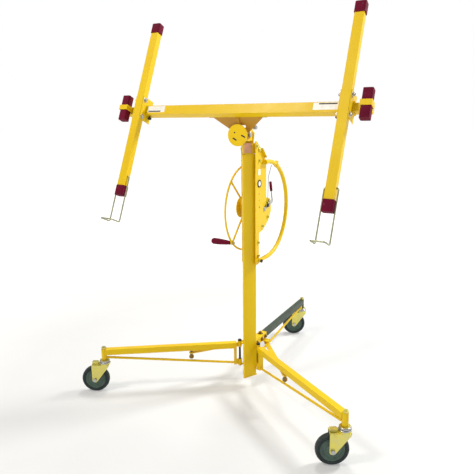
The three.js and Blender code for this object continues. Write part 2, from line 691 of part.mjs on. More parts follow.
// ---- head ------------------------------------------------------------------------------------
// Skirted socket on the inner mast with the upright plate that the tilting head is bolted to.
// The skirt covers the middle mast's end and is slotted at the back for the sheave.
function mastHead() {
  const skirt = MAST_TOP + 8;
  const top = INNER_TOP + 5;
  const socket = slab(triangleShape(MAST_INRADIUS - 1.4, MAST_CORNER), skirt, top, 4);
  const wide = slab(triangleShape(MIDDLE_INRADIUS + 0.6, MAST_CORNER), skirt - 5, MIDDLE_TOP + 1, 4);
  const narrow = slab(triangleShape(INNER_INRADIUS + GAP, MAST_CORNER), skirt, INNER_TOP + GAP, 4);
  wide.translate(0, INNER_SHIFT, 0);
  narrow.translate(0, INNER_SHIFT, 0);
  const plate = new THREE.Shape();
  plate.moveTo(-25, INNER_TOP);
  plate.lineTo(25, INNER_TOP);
  plate.lineTo(30, SIDE_TILT_Z);
  plate.absarc(0, SIDE_TILT_Z, 30, 0, Math.PI, false);
  plate.closePath();
  const slot = block(-8, 8, 13.2, 40, skirt - 5, SIDE_TILT_Z - 20);
  return join([socket, frontPlate(plate, 8, 13)],
    [wide, narrow, slot, rod(6.2, [0, 0, SIDE_TILT_Z], [0, 30, SIDE_TILT_Z], 20)]);
}

// Channel with a round front plate; the cradle's tilt pin passes through its two cheeks.
function tiltHead() {
  const low = 1150;
  const high = 1200;
  const front = TILT_Y - 46;
  const pieces = [
    frontPlate(disc(0, TILT_Z - 1, 45), front, front + PLATE, 18),
    block(-24, -20, front + 1, 7, low, high),
    block(20, 24, front + 1, 7, low, high),
    block(-24, 24, 3, 7.6, low, high),
  ];
  const cuts = [
    rod(6.2, [-40, TILT_Y, TILT_Z], [40, TILT_Y, TILT_Z], 20),
    rod(6.2, [0, -20, SIDE_TILT_Z], [0, 20, SIDE_TILT_Z], 20),
    rod(3.5, [-13, front - 5, TILT_Z + 10], [-13, front + 5, TILT_Z + 10], 12),
    slotCut(-13, TILT_Z - 17, front),
    slotCut(27, TILT_Z - 5, front),
  ];
  return join(pieces, cuts);
}

// Slanted slot through the round front plate.
function slotCut(x, z, front) {
  const slot = block(-10, 10, front - 3, front + 8, -3, 3);
  slot.rotateY(radians(28));
  return slot.translate(x, 0, z);
}

function sideTiltBolt() {
  return join([
    rod(6, [0, -2, SIDE_TILT_Z], [0, 34, SIDE_TILT_Z], 20),
    rod(10, [0, -5, SIDE_TILT_Z], [0, 3 - GAP, SIDE_TILT_Z], 6),
  ]);
}

// Wing knob that clamps the side tilt.
function sideTiltKnob() {
  const wing = new THREE.Shape();
  wing.moveTo(-9, -9);
  wing.lineTo(9, -9);
  wing.lineTo(26, 6);
  wing.lineTo(24, 14);
  wing.lineTo(8, 8);
  wing.lineTo(-8, 8);
  wing.lineTo(-24, 14);
  wing.lineTo(-26, 6);
  wing.closePath();
  return join([frontPlate(wing, 17, 24), rod(11, [0, 13.4, 0], [0, 27, 0], 20)],
    [rod(6.3, [0, 0, 0], [0, 50, 0], 20)]);
}

function tiltPin() {
  return join([
    rod(6, [-40, 0, 0], [40, 0, 0], 20),
    rod(11, [32 + GAP, 0, 0], [40, 0, 0], 6),
    rod(11, [-40, 0, 0], [-32 - GAP, 0, 0], 6),
  ]);
}

function buildHead() {
  addNode('mast_head', mastHead(), YELLOW);
  addNode('tilt_head', tiltHead(), YELLOW);
  addNode('side_tilt_bolt', sideTiltBolt(), ZINC);
  addNode('side_tilt_knob', sideTiltKnob(), YELLOW).position.z = SIDE_TILT_Z;
  addNode('tilt_pin', tiltPin(), ZINC).position.set(0, TILT_Y, TILT_Z);
}

// ---- cradle ----------------------------------------------------------------------------------
// Everything here is drawn with the cradle level and its tilt axis at the origin:
// +Z is the side the board rests on, and the crossarms run along Y.
function cradleYoke() {
  const reach = Math.hypot(CROSS_Y, CROSS_Z);
  const top = reach - 18;
  const web = polygon([[-130, top], [-35, 13], [-27, 13], [-27, 46], [27, 46], [27, 13], [35, 13],
    [130, top]]);
  const ear = new THREE.Shape();
  ear.absarc(0, 0, 18, Math.PI, 2 * Math.PI, false);
  ear.lineTo(18, 38);
  ear.lineTo(-18, 38);
  ear.closePath();
  const plates = [
    frontPlate(web, -PLATE / 2, PLATE / 2),
    block(-7, 7, -9, 9, 48, top),
    sidePlate(ear, 27, 31),
    sidePlate(ear, -31, -27),
  ];
  const bores = [
    rod(6.2, [-60, 0, 0], [60, 0, 0], 20),
    rod(4.2, [20, LATCH_Y, LATCH_Z], [40, LATCH_Y, LATCH_Z], 12),
  ];
  const leaning = join(plates, bores).rotateX(yokeLean());
  const seat = CROSS_Z - CROSS_TUBE / 2 - GAP;
  const saddle = block(-134, 134, CROSS_Y - 20, CROSS_Y + 20, seat - PLATE, seat);
  return join([leaning, saddle], [block(-150, 150, -50, 150, seat, seat + 60)]);
}

// The yoke plate leans so that it points from the tilt axis to the cross tube.
function yokeLean() {
  return Math.atan2(CROSS_Z, CROSS_Y) - Math.PI / 2;
}

// Spring latch pin at the yoke's right ear, with a pull knob.
function tiltLatch() {
  return join([
    rod(4, [24.5, 0, 0], [56, 0, 0], 12),
    rod(8, [54, 0, 0], [68, 0, 0], 16),
  ]);
}

function squareTube(size, wall, x0, x1) {
  const half = size / 2;
  return join([block(x0, x1, -half, half, -half, half)],
    [block(x0 - 5, x1 + 5, -half + wall, half - wall, -half + wall, half - wall)]);
}

// Crossarm: rectangular tube with a hole for each hook pivot.
function crossarm() {
  const halfWidth = ARM_WIDTH / 2;
  const halfDepth = ARM_DEPTH / 2;
  return join([block(-halfWidth, halfWidth, -ARM_HALF, ARM_HALF, -halfDepth, halfDepth)], [
    block(-halfWidth + 2, halfWidth - 2, -ARM_HALF - 5, ARM_HALF + 5, -halfDepth + 2, halfDepth - 2),
    rod(HOOK_WIRE_R + 0.25, [-40, hookPivotY(), 0], [40, hookPivotY(), 0], 12),
  ]);
}

function hookPivotY() {
  return -ARM_HALF - 8 + HOOK_PIVOT;
}

// Rounded boot over the end of a crossarm.
function armCap(end) {
  const width = ARM_WIDTH / 2 + GAP;
  const depth = ARM_DEPTH / 2 + GAP;
  const tip = end * (ARM_HALF + 8);
  const root = tip - end * CAP_LENGTH;
  const inside = end * (ARM_HALF + GAP);
  const low = Math.min(tip, root);
  const high = Math.max(tip, root);
  const boot = roundedBlock(width + CAP_WALL, low, high, depth + CAP_WALL);
  const pocket = block(-width, width, Math.min(inside, root - end * 5), Math.max(inside, root - end * 5),
    -depth, depth);
  return join([boot], [pocket]);
}

// Block with rounded vertical edges, standing along Y.
function roundedBlock(halfWidth, y0, y1, halfDepth) {
  const radius = 6;
  const shape = new THREE.Shape();
  shape.absarc(halfWidth - radius, halfDepth - radius, radius, 0, Math.PI / 2, false);
  shape.absarc(radius - halfWidth, halfDepth - radius, radius, Math.PI / 2, Math.PI, false);
  shape.absarc(radius - halfWidth, radius - halfDepth, radius, Math.PI, 1.5 * Math.PI, false);
  shape.absarc(halfWidth - radius, radius - halfDepth, radius, 1.5 * Math.PI, 2 * Math.PI, false);
  shape.closePath();
  return frontPlate(shape, y0, y1, 3);
}

// Saddle that straddles the cross tube and holds a crossarm between two side flanges.
function armBracket() {
  const inner = ARM_WIDTH / 2 + GAP;
  const outer = inner + BRACKET_PLATE;
  const base = CROSS_TUBE / 2 + GAP;
  const top = armHeight() + ARM_DEPTH / 2 - 1;
  const notch = CROSS_TUBE / 2 + GAP;
  return join([
    block(inner, outer, -52, 52, -18, top),
    block(-outer, -inner, -52, 52, -18, top),
    block(-outer, outer, -52, 52, base, base + BRACKET_PLATE),
  ], [block(-60, 60, -notch, notch, -30, base)]);
}

// Outrigger: square bar sliding in the cross tube, riser, and the band that holds the pad.
function outrigger(side) {
  const half = OUTRIGGER_ROD / 2;
  const lift = armHeight();
  const pieces = [
    block(150, OUTRIGGER_X + 14, -half, half, -half, half),
    block(OUTRIGGER_X - 14, OUTRIGGER_X + 14, -half, half, half - 1, lift - ARM_DEPTH / 2 - 1.5),
    block(OUTRIGGER_X - BAND, OUTRIGGER_X + BAND, -11, 11, lift - 19.5, lift + 19.5),
  ];
  const pocket = block(OUTRIGGER_X - BAND + 3, OUTRIGGER_X + BAND - 3, -20, 20, lift - 16.5, lift + 16.5);
  const geometry = join(pieces, [pocket]);
  return side > 0 ? geometry : mirrored(geometry);
}

function armHeight() {
  return CROSS_TUBE / 2 + BRACKET_PLATE + 2 * GAP + ARM_DEPTH / 2;
}

// Padded bar carried by the outrigger: two thick ends and a waist inside the band.
function outriggerPad() {
  const ends = [
    roundedBlock(PAD_HALF_WIDTH, -PAD_HALF, -11.4, 16.5),
    roundedBlock(PAD_HALF_WIDTH, 11.4, PAD_HALF, 16.5),
    block(2 - PAD_HALF_WIDTH, PAD_HALF_WIDTH - 2, -13, 13, -14.5, 14.5),
  ];
  return join(ends);
}

// Wire hook at the foot of a crossarm; its origin is the pivot.
function wireHook() {
  const x = ARM_WIDTH / 2 + CAP_WALL + GAP + 4.5;
  const stub = 6;
  const corners = [[ARM_WIDTH / 2 - stub, 0, 0], [x, 0, 0], [x, -HOOK_LENGTH, 0],
    [x, -HOOK_LENGTH, HOOK_FOOT], [-x, -HOOK_LENGTH, HOOK_FOOT], [-x, -HOOK_LENGTH, 0], [-x, 0, 0],
    [stub - ARM_WIDTH / 2, 0, 0]];
  return bentRod(HOOK_WIRE_R, bentPath(corners, 8), 8);
}

function buildCradle() {
  const cradle = new THREE.Group();
  cradle.position.set(0, TILT_Y, TILT_Z);
  cradle.rotation.x = radians(CRADLE_TILT);
  lift.add(cradle);
  addNode('cradle_yoke', cradleYoke(), YELLOW, cradle);
  const latch = addNode('tilt_latch', tiltLatch(), ZINC, cradle);
  latch.position.set(0, LATCH_Y, LATCH_Z).applyAxisAngle(new THREE.Vector3(1, 0, 0), yokeLean());
  const tube = addNode('cross_tube', squareTube(CROSS_TUBE, 2.5, -CROSS_HALF, CROSS_HALF), YELLOW, cradle);
  tube.position.set(0, CROSS_Y, CROSS_Z);
  for (const [side, label] of [[-1, 'left'], [1, 'right']]) {
    const z = CROSS_Z + armHeight();
    const place = [side * ARM_X, CROSS_Y, z];
    addNode(`${label}_crossarm`, crossarm(), YELLOW, cradle).position.set(...place);
    addNode(`${label}_arm_cap_top`, armCap(1), MAROON, cradle).position.set(...place);
    addNode(`${label}_arm_cap_bottom`, armCap(-1), MAROON, cradle).position.set(...place);
    addNode(`${label}_arm_bracket`, armBracket(), YELLOW, cradle)
      .position.set(side * ARM_X, CROSS_Y, CROSS_Z);
    addNode(`${label}_hook`, wireHook(), ZINC, cradle)
      .position.set(side * ARM_X, CROSS_Y + hookPivotY(), z);
    addNode(`${label}_outrigger`, outrigger(side), YELLOW, cradle).position.set(0, CROSS_Y, CROSS_Z);
    addNode(`${label}_outrigger_pad`, outriggerPad(), MAROON, cradle)
      .position.set(side * OUTRIGGER_X, CROSS_Y, z);
  }
}

buildMast();
buildBase();
buildWinch();
buildHead();
buildCradle();

// The origin is the middle of the footprint, on the floor.
const extent = new THREE.Box3().setFromObject(lift);
const middle = extent.getCenter(new THREE.Vector3());
lift.position.set(-middle.x, -middle.y, -extent.min.z);

const model = new THREE.Group();
model.add(lift);
export default model;
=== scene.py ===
"""Looks of the drywall lift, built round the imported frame. Metres, in the frame's own axes."""
import json
import math

import bmesh
import bpy
from mathutils import Matrix, Vector

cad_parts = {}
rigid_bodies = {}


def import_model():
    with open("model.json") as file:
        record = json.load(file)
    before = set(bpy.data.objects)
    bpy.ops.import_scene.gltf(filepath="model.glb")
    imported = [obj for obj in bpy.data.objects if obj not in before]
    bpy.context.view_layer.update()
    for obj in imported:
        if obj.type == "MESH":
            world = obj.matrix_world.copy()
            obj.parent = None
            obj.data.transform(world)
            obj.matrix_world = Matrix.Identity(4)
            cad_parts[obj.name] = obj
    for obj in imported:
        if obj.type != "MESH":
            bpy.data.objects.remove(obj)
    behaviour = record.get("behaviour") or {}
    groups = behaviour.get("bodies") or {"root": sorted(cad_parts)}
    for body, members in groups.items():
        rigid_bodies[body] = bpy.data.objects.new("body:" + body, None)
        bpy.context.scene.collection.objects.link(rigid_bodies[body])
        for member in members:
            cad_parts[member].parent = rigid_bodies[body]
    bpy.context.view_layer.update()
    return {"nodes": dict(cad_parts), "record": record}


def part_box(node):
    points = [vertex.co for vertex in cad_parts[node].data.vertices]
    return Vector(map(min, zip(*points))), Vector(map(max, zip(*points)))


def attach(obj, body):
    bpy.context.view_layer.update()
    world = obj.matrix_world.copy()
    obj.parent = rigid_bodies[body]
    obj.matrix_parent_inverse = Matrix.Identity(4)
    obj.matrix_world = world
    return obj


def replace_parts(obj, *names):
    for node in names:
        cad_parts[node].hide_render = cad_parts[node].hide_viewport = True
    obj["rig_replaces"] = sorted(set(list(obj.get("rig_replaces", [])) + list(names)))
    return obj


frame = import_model()

# ---- driving dimensions ----------------------------------------------------------------------
# Places are measured from the foot of the mast. Angles are in degrees. Sizes of the machine are in
# millimetres, and are multiplied by MM where they are used, unless they carry MM here.
MM = 0.001
X_AXIS = Vector((1, 0, 0))
Z_AXIS = Vector((0, 0, 1))

CAMERA_OFFSET = Vector((1.0286, -1.9946, 1.2528))
CAMERA_HEADING = Vector((-0.4767, 0.8791, 0))
CAMERA_PITCH = 13.19
CAMERA_ROLL = 0.579
CAMERA_LENS = 39.25
FLOOR_GLOW_NEAR = 0.27               # strength round the lift and at the backdrop
FLOOR_GLOW_FAR = 0.8
FLOOR_DROP = 0.0004
WORLD_LOW = 1.0                      # strength along the horizon and overhead
WORLD_HIGH = 0.3

PLATE_BEVEL = 0.5 * MM
SOFT_BEVELS = {"arm_cap": 3.2 * MM, "outrigger_pad": 3.4 * MM}

WINCH_X = 41 * MM                    # outer face of the winch frame's side plates
RIM_X = -54                          # plane of the crank wheel's rim
RIM_RADIUS = 194 * MM
RIM_ROD = 4.5 * MM
SPOKES = 4
SPOKE_ANGLE = 46
DRUM_RADIUS = 27 * MM
DRUM_HALF = 33
ROPE_TURNS = 17
ROPE_LAY = 55                        # width of the turns of rope on the drum
ROPE_RADIUS = 1.5 * MM
SHEAVE_PITCH = 20 * MM
ROPE_END_Z = 84
LOOP_RADIUS = 216 * MM
LOOP_TUBE = 9.5 * MM
LOOP_CENTRE = Vector((54, 92, 839))
LOOP_FOOT_Y = 2
CLAMP_ANGLE = 64                     # of the pull wire's clamp, round the hand loop
SIDE_BOLTS = ((38, 1062), (96, 1046), (124, 800), (70, 766), (12, 1126), (24, 700), (24, 640))
THROUGH_BOLTS = ((96, 1046), (124, 800), (70, 766))
BUSH = (36, 963)                     # Y and Z on the winch frame, as for the bolts above
RATCHET = (126, 862)

LEG_TOP = 209
LEG_UNDER = 182
SADDLE_START = 24                    # Y of the saddle over the root of the rear leg
SADDLE_END = 168
SADDLE_HALF = 17.5
SADDLE_TOP = LEG_TOP + 3.6

SKIRT_INRADIUS = 20.2                # the mast head's triangular skirt
DISC_FRONT = -46                     # Y of the tilting head's round plate, from the tilt axis
DISC_SLOTS = ((-13, -17), (27, -5))  # X and Z of its slots, from the tilt axis
DISC_HOLE = (-13, 10)
SLOT_LEAN = -28
CRADLE_LEAN = 66
CROSS_Y = 67                         # axis of the cross tube, in the level cradle
CROSS_Z = 90
CROSS_FACE = CROSS_Z + 19.8
ARM_X = 464
ARM_LEVEL = CROSS_Z + 37.6
ARM_WIDTH = 37
HOOK_PIVOT_Y = CROSS_Y - 312
HOOK_REACH = 203
HOOK_FOOT = 58
THUMB_SCREW_X = 430

record = frame["record"]
body_of_node = {
    node: body for body, nodes in record["behaviour"]["bodies"].items() for node in nodes
}
slot_of_node = {part["node"]: part["material_slot"] for part in record["subparts"]}
joints = {joint["name"]: joint for joint in record["behaviour"]["joints"]}


def joint_point(name):
    return Vector(joints[name]["pos_m"])


MAST = Vector((joint_point("side_tilt").x, joint_point("side_tilt").y, 0))
CRANK = joint_point("crank_turn")
RIM_CENTRE = Vector((MAST.x + RIM_X * MM, CRANK.y, CRANK.z))
TILT_AXIS = joint_point("cradle_tilt")
CRADLE = Matrix.Translation(TILT_AXIS) @ Matrix.Rotation(math.radians(CRADLE_LEAN), 4, "X")


# ---- materials -------------------------------------------------------------------------------
class Recipe:
    """A node-based material under construction."""

    def __init__(self, name):
        self.material = bpy.data.materials.new(name)
        self.material.use_nodes = True
        self.tree = self.material.node_tree
        self.shader = self.tree.nodes["Principled BSDF"]
        self.coords = self.tree.nodes.new("ShaderNodeTexCoord").outputs["Object"]
        self.height = None

    def node(self, kind, inputs=(), **settings):
        made = self.tree.nodes.new(kind)
        for key, value in settings.items():
            setattr(made, key, value)
        for socket, value in dict(inputs).items():
            self.feed(made.inputs[socket], value)
        return made

    def feed(self, socket, value):
        if isinstance(value, bpy.types.NodeSocket):
            self.tree.links.new(value, socket)
        else:
            socket.default_value = value

    def set(self, **values):
        for key, value in values.items():
            self.feed(self.shader.inputs[key.replace("_", " ")], value)

    def stretched(self, scale):
        return self.node("ShaderNodeMapping", {"Vector": self.coords, "Scale": scale}).outputs[0]

    def noise(self, scale, detail=4, roughness=0.55, vector=None):
        made = self.node("ShaderNodeTexNoise", {
            "Vector": vector or self.coords, "Scale": scale, "Detail": detail,
            "Roughness": roughness})
        return made.outputs["Fac"]

    def span(self, value, low, high, start=0.0, end=1.0):
        made = self.node("ShaderNodeMapRange", {
            "Value": value, "From Min": low, "From Max": high, "To Min": start, "To Max": end})
        return made.outputs["Result"]

    def mixed(self, factor, first, second):
        made = self.node("ShaderNodeMix", data_type="RGBA")
        self.feed(made.inputs["Factor"], factor)
        self.feed(made.inputs["A"], first)
        self.feed(made.inputs["B"], second)
        return made.outputs["Result"]

    def multiplied(self, first, second):
        return self.node("ShaderNodeMath", {0: first, 1: second}, operation="MULTIPLY").outputs[0]

    def bump(self, height, distance, strength=1.0):
        inputs = {"Height": height, "Distance": distance, "Strength": strength}
        if self.height is not None:
            inputs["Normal"] = self.height
        self.height = self.node("ShaderNodeBump", inputs).outputs["Normal"]
        self.feed(self.shader.inputs["Normal"], self.height)

    def worn_edges(self, radius, amount):
        """A mask that is high along convex and concave edges, broken up by noise."""
        rounded = self.node("ShaderNodeBevel", {"Radius": radius}, samples=4)
        flat = self.node("ShaderNodeNewGeometry").outputs["Normal"]
        agreement = self.node("ShaderNodeVectorMath", {0: rounded.outputs[0], 1: flat},
                              operation="DOT_PRODUCT").outputs["Value"]
        edge = self.span(agreement, 0.995, 0.9, 0.0, 1.0)
        patch = self.span(self.noise(60, 6), 0.5, 0.62, 0.0, amount)
        return self.multiplied(edge, patch)


def painted(name, colour, shade, worn, roughness=0.34, edge_wear=0.7):
    recipe = Recipe(name)
    cloud = recipe.span(recipe.noise(5, 3), 0.35, 0.65)
    tone = recipe.mixed(cloud, colour, shade)
    speck = recipe.span(recipe.noise(420, 2), 0.68, 0.76, 0.0, 0.5)
    tone = recipe.mixed(speck, tone, shade)
    scuff = recipe.span(recipe.noise(16, 8, 0.7, recipe.stretched((1, 1, 9))), 0.66, 0.74, 0.0, 0.35)
    tone = recipe.mixed(scuff, tone, worn)
    tone = recipe.mixed(recipe.worn_edges(1.2 * MM, edge_wear), tone, worn)
    recipe.set(Base_Color=tone)
    recipe.set(Roughness=recipe.span(recipe.noise(24, 5), 0.3, 0.7, roughness, roughness + 0.16))
    recipe.set(Coat_Weight=0.06, Coat_Roughness=0.2, Specular_IOR_Level=0.2)
    recipe.bump(recipe.noise(620, 2), 0.08 * MM, 0.35)
    recipe.bump(recipe.noise(90, 3), 0.12 * MM, 0.25)
    return recipe.material


def plated(name, colour, tint, roughness=0.3, grain=(1, 1, 1)):
    recipe = Recipe(name)
    cloud = recipe.span(recipe.noise(34, 4), 0.32, 0.68)
    tone = recipe.mixed(cloud, colour, tint)
    stain = recipe.span(recipe.noise(9, 6), 0.58, 0.72, 0.0, 0.45)
    tone = recipe.mixed(stain, tone, (tint[0] * 0.55, tint[1] * 0.52, tint[2] * 0.5, 1))
    recipe.set(Base_Color=tone, Metallic=0.92)
    fine = recipe.noise(260, 4, 0.6, recipe.stretched(grain))
    recipe.set(Roughness=recipe.span(fine, 0.25, 0.75, roughness, roughness + 0.2))
    recipe.bump(fine, 0.05 * MM, 0.4)
    return recipe.material


def rubbery(name, colour, tint, roughness=0.62, pebble=700, depth=0.14, specular=0.3):
    recipe = Recipe(name)
    tone = recipe.mixed(recipe.span(recipe.noise(22, 5), 0.35, 0.65), colour, tint)
    dust = recipe.span(recipe.noise(70, 6), 0.62, 0.78, 0.0, 0.12)
    tone = recipe.mixed(dust, tone, (0.42, 0.4, 0.36, 1))
    recipe.set(Base_Color=tone, Specular_IOR_Level=specular)
    recipe.set(Roughness=recipe.span(recipe.noise(30, 4), 0.3, 0.7, roughness, roughness + 0.15))
    cells = recipe.node("ShaderNodeTexVoronoi", {"Vector": recipe.coords, "Scale": pebble})
    recipe.bump(cells.outputs["Distance"], depth * MM, 0.45)
    return recipe.material


def smooth_plastic(name, colour, tint, cloud_size, roughness, bump_size, depth, strength):
    recipe = Recipe(name)
    cloud = recipe.span(recipe.noise(cloud_size, 4), 0.35, 0.65)
    recipe.set(Base_Color=recipe.mixed(cloud, colour, tint))
    patches = recipe.noise(*roughness[:2])
    recipe.set(Roughness=recipe.span(patches, 0.3, 0.7, *roughness[2:]))
    recipe.bump(recipe.noise(bump_size, 2), depth * MM, strength)
    return recipe.material


def hub_plastic():
    return smooth_plastic("wheel_hub_plastic", (0.045, 0.085, 0.066, 1), (0.065, 0.115, 0.088, 1),
                          26, (40, 4, 0.34, 0.5), 500, 0.05, 0.4)


def label_plastic(name, colour, tint):
    return smooth_plastic(name, colour, tint, 30, (60, 3, 0.3, 0.45), 300, 0.03, 0.3)


def stranded(name):
    recipe = Recipe(name)
    twist = recipe.node("ShaderNodeTexWave", {
        "Vector": recipe.coords, "Scale": 260, "Distortion": 0.4}, bands_direction="DIAGONAL")
    fac = twist.outputs["Fac"]
    recipe.set(Base_Color=recipe.mixed(fac, (0.12, 0.12, 0.12, 1), (0.55, 0.55, 0.53, 1)))
    recipe.set(Metallic=0.85, Roughness=0.42)
    recipe.bump(fac, 0.3 * MM, 0.8)
    return recipe.material


MATERIALS = {
    "yellow_paint": painted("yellow_powder_coat", (0.77, 0.525, 0.003, 1), (0.74, 0.485, 0.003, 1),
                            (0.55, 0.36, 0.05, 1)),
    "dark_paint": painted(
        "dark_green_coat", (0.055, 0.075, 0.05, 1), (0.035, 0.05, 0.036, 1), (0.2, 0.22, 0.18, 1)),
    "maroon_rubber": rubbery(
        "maroon_rubber", (0.15, 0.001, 0.022, 1), (0.105, 0.001, 0.016, 1), specular=0.14),
    "zinc": plated("bright_zinc", (0.5, 0.5, 0.49, 1), (0.38, 0.385, 0.39, 1)),
    "gold_zinc": plated("yellow_chromate", (0.74, 0.66, 0.13, 1), (0.66, 0.6, 0.22, 1), 0.3),
    "black_steel": plated("black_oxide", (0.06, 0.058, 0.055, 1), (0.03, 0.03, 0.032, 1), 0.38),
    "wheel_rubber": rubbery(
        "wheel_rubber", (0.012, 0.022, 0.022, 1), (0.02, 0.032, 0.03, 1), 0.42, 900),
    "cable_steel": stranded("steel_rope"),
    "nylon": rubbery(
        "black_nylon", (0.03, 0.035, 0.03, 1), (0.045, 0.05, 0.045, 1), 0.42, 1200, 0.05),
}
HUB_PLASTIC = hub_plastic()
WHITE_PLASTIC = label_plastic("white_plate", (0.86, 0.85, 0.8, 1), (0.78, 0.76, 0.7, 1))
# Tan plate colour: a painted shadow, used for the plate on the mast head's skirt under the tilting
# head.
TAN_PAINTED_SHADOW = label_plastic("tan_painted_shadow", (0.56, 0.29, 0.16, 1), (0.5, 0.25, 0.14, 1))
# Darker brown-tan coat for the yoke: painted shade, making the yoke as dark as it looks in the shade
# under the cross tube.
YOKE_PAINTED_SHADE = painted(
    "yoke_painted_shade", (0.5, 0.265, 0.03, 1), (0.44, 0.22, 0.035, 1), (0.36, 0.2, 0.06, 1))
DARK_BRASS = plated("dark_brass", (0.34, 0.21, 0.06, 1), (0.2, 0.12, 0.04, 1))
OLIVE_ZINC = plated("olive_chromate", (0.42, 0.42, 0.27, 1), (0.3, 0.31, 0.2, 1))


# ---- meshes ----------------------------------------------------------------------------------
def new_object(name, mesh_builder, smooth_angle=40):
    mesh = bpy.data.meshes.new(name)
    bm = bmesh.new()
    mesh_builder(bm)
    bmesh.ops.remove_doubles(bm, verts=bm.verts, dist=1e-6)
    bmesh.ops.recalc_face_normals(bm, faces=bm.faces)
    bm.to_mesh(mesh)
    bm.free()
    mesh.shade_smooth()
    mesh.set_sharp_from_angle(angle=math.radians(smooth_angle))
    obj = bpy.data.objects.new(name, mesh)
    bpy.context.collection.objects.link(obj)
    return obj


def scaled(profile):
    """A profile written in millimetres, in metres."""
    return [(along * MM, radius * MM) for along, radius in profile]


def mirrored_profile(half):
    """A profile from its left half: the same points again on the other side."""
    return half + [(-along, radius) for along, radius in reversed(half)]


def frame_along(direction):
    """Two unit vectors square to a direction."""
    direction = Vector(direction).normalized()
    helper = Z_AXIS if abs(direction.z) < 0.9 else X_AXIS
    side = direction.cross(helper).normalized()
    return side, direction.cross(side).normalized()


def add_ring(bm, centre, side, up, radius, count):
    """Vertices evenly round a circle that lies along two unit vectors."""
    ring = []
    for k in range(count):
        angle = 2 * math.pi * k / count
        spoke = side * math.cos(angle) + up * math.sin(angle)
        ring.append(bm.verts.new(centre + spoke * radius))
    return ring


def join_rings(bm, first, second):
    for k in range(len(first)):
        n = (k + 1) % len(first)
        bm.faces.new((first[k], first[n], second[n], second[k]))


def add_lathe(bm, origin, axis, profile, segments=48, hollow=False):
    """Turns [(distance along the axis, radius), ...]; a hollow profile closes on itself."""
    axis = Vector(axis).normalized()
    side, up = frame_along(axis)
    rings = [add_ring(bm, origin + axis * along, side, up, radius, segments)
             for along, radius in profile]
    for first, second in zip(rings, rings[1:]):
        join_rings(bm, first, second)
    if hollow:
        join_rings(bm, rings[-1], rings[0])
    else:
        bm.faces.new(rings[0])
        bm.faces.new(rings[-1])


def add_tube(bm, points, radius, sides=14, closed=False):
    """Round bar through points, its section carried along without twisting."""
    count = len(points)
    tangents = []
    for i in range(count):
        before = points[i - 1] if i or closed else points[0]
        after = points[(i + 1) % count] if i < count - 1 or closed else points[-1]
        start = (points[i] - before).normalized() if points[i] != before else Vector()
        end = (after - points[i]).normalized() if points[i] != after else Vector()
        tangents.append((start + end).normalized())
    side, _ = frame_along(tangents[0])
    rings = []
    for i in range(count):
        if i:
            side.rotate(tangents[i - 1].rotation_difference(tangents[i]))
        rings.append(add_ring(bm, points[i], side, tangents[i].cross(side), radius, sides))
    for first, second in zip(rings, rings[1:]):
        join_rings(bm, first, second)
    if closed:
        join_rings(bm, rings[-1], rings[0])
    else:
        bm.faces.new(rings[0])
        bm.faces.new(rings[-1])


def bent_path(corners, bend, steps=8):
    """Points along a wire bent at each corner."""
    corners = [Vector(c) for c in corners]
    path = [corners[0]]
    for before, corner, after in zip(corners, corners[1:], corners[2:]):
        start = corner + (before - corner).normalized() * bend
        end = corner + (after - corner).normalized() * bend
        for k in range(steps + 1):
            t = k / steps
            path.append(start * (1 - t) ** 2 + corner * 2 * t * (1 - t) + end * t * t)
    path.append(corners[-1])
    return path


def add_hex(bm, origin, axis, across, height):
    """Hexagonal head or nut that grows from origin along axis, with a turned top edge."""
    radius = across / math.sqrt(3)
    chamfer = across * 0.06
    profile = [(0, radius), (height - chamfer, radius), (height, radius - chamfer)]
    add_lathe(bm, origin, axis, profile, 6)


def add_bolt(bm, origin, axis, across, washer=True):
    """Hex head with its washer and a short threaded end standing out of it."""
    axis = Vector(axis).normalized()
    base = origin
    if washer:
        profile = [(0, across * 0.98), (1.4 * MM, across * 0.98), (1.6 * MM, across * 0.9)]
        add_lathe(bm, base, axis, profile, 28)
        base = base + axis * 1.6 * MM
    add_hex(bm, base, axis, across, across * 0.62)
    thread = [(0, across * 0.28), (across * 0.16, across * 0.24)]
    add_lathe(bm, base + axis * across * 0.6, axis, thread, 16)


def add_box(bm, low, high):
    corners = [Vector((x, y, z)) for x in (low[0], high[0]) for y in (low[1], high[1])
               for z in (low[2], high[2])]
    verts = [bm.verts.new(c) for c in corners]
    for face in ((0, 1, 3, 2), (4, 6, 7, 5), (0, 4, 5, 1), (2, 3, 7, 6), (0, 2, 6, 4), (1, 5, 7, 3)):
        bm.faces.new([verts[i] for i in face])


def rounded_rectangle(x, y, half_width, half_height, radius):
    corners = []
    for sx, sy, first in ((1, 1, 0), (-1, 1, 90), (-1, -1, 180), (1, -1, 270)):
        for k in range(5):
            angle = math.radians(first + 22.5 * k)
            corners.append((x + sx * (half_width - radius) + radius * math.cos(angle),
                            y + sy * (half_height - radius) + radius * math.sin(angle)))
    return corners


def add_plate(bm, place, corners, low, high):
    """Plate from low to high; place turns its outline and heights into points."""
    under = [bm.verts.new(place(x, y, low)) for x, y in corners]
    over = [bm.verts.new(place(x, y, high)) for x, y in corners]
    bm.faces.new(under)
    bm.faces.new(over)
    join_rings(bm, under, over)


def bevelled(obj, width, segments=2, angle=35):
    bevel = obj.modifiers.new("edge", "BEVEL")
    bevel.width = width
    bevel.segments = segments
    bevel.limit_method = "ANGLE"
    bevel.angle_limit = math.radians(angle)
    bevel.harden_normals = True
    bevel.use_clamp_overlap = True
    return obj


def finish_piece(obj, body, slot, nodes=(), material=None):
    """Gives a piece its material and body, and hides the CAD nodes it stands for."""
    obj.data.materials.clear()
    obj.data.materials.append(material or MATERIALS[slot])
    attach(obj, body)
    if nodes:
        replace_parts(obj, *nodes)
    return obj


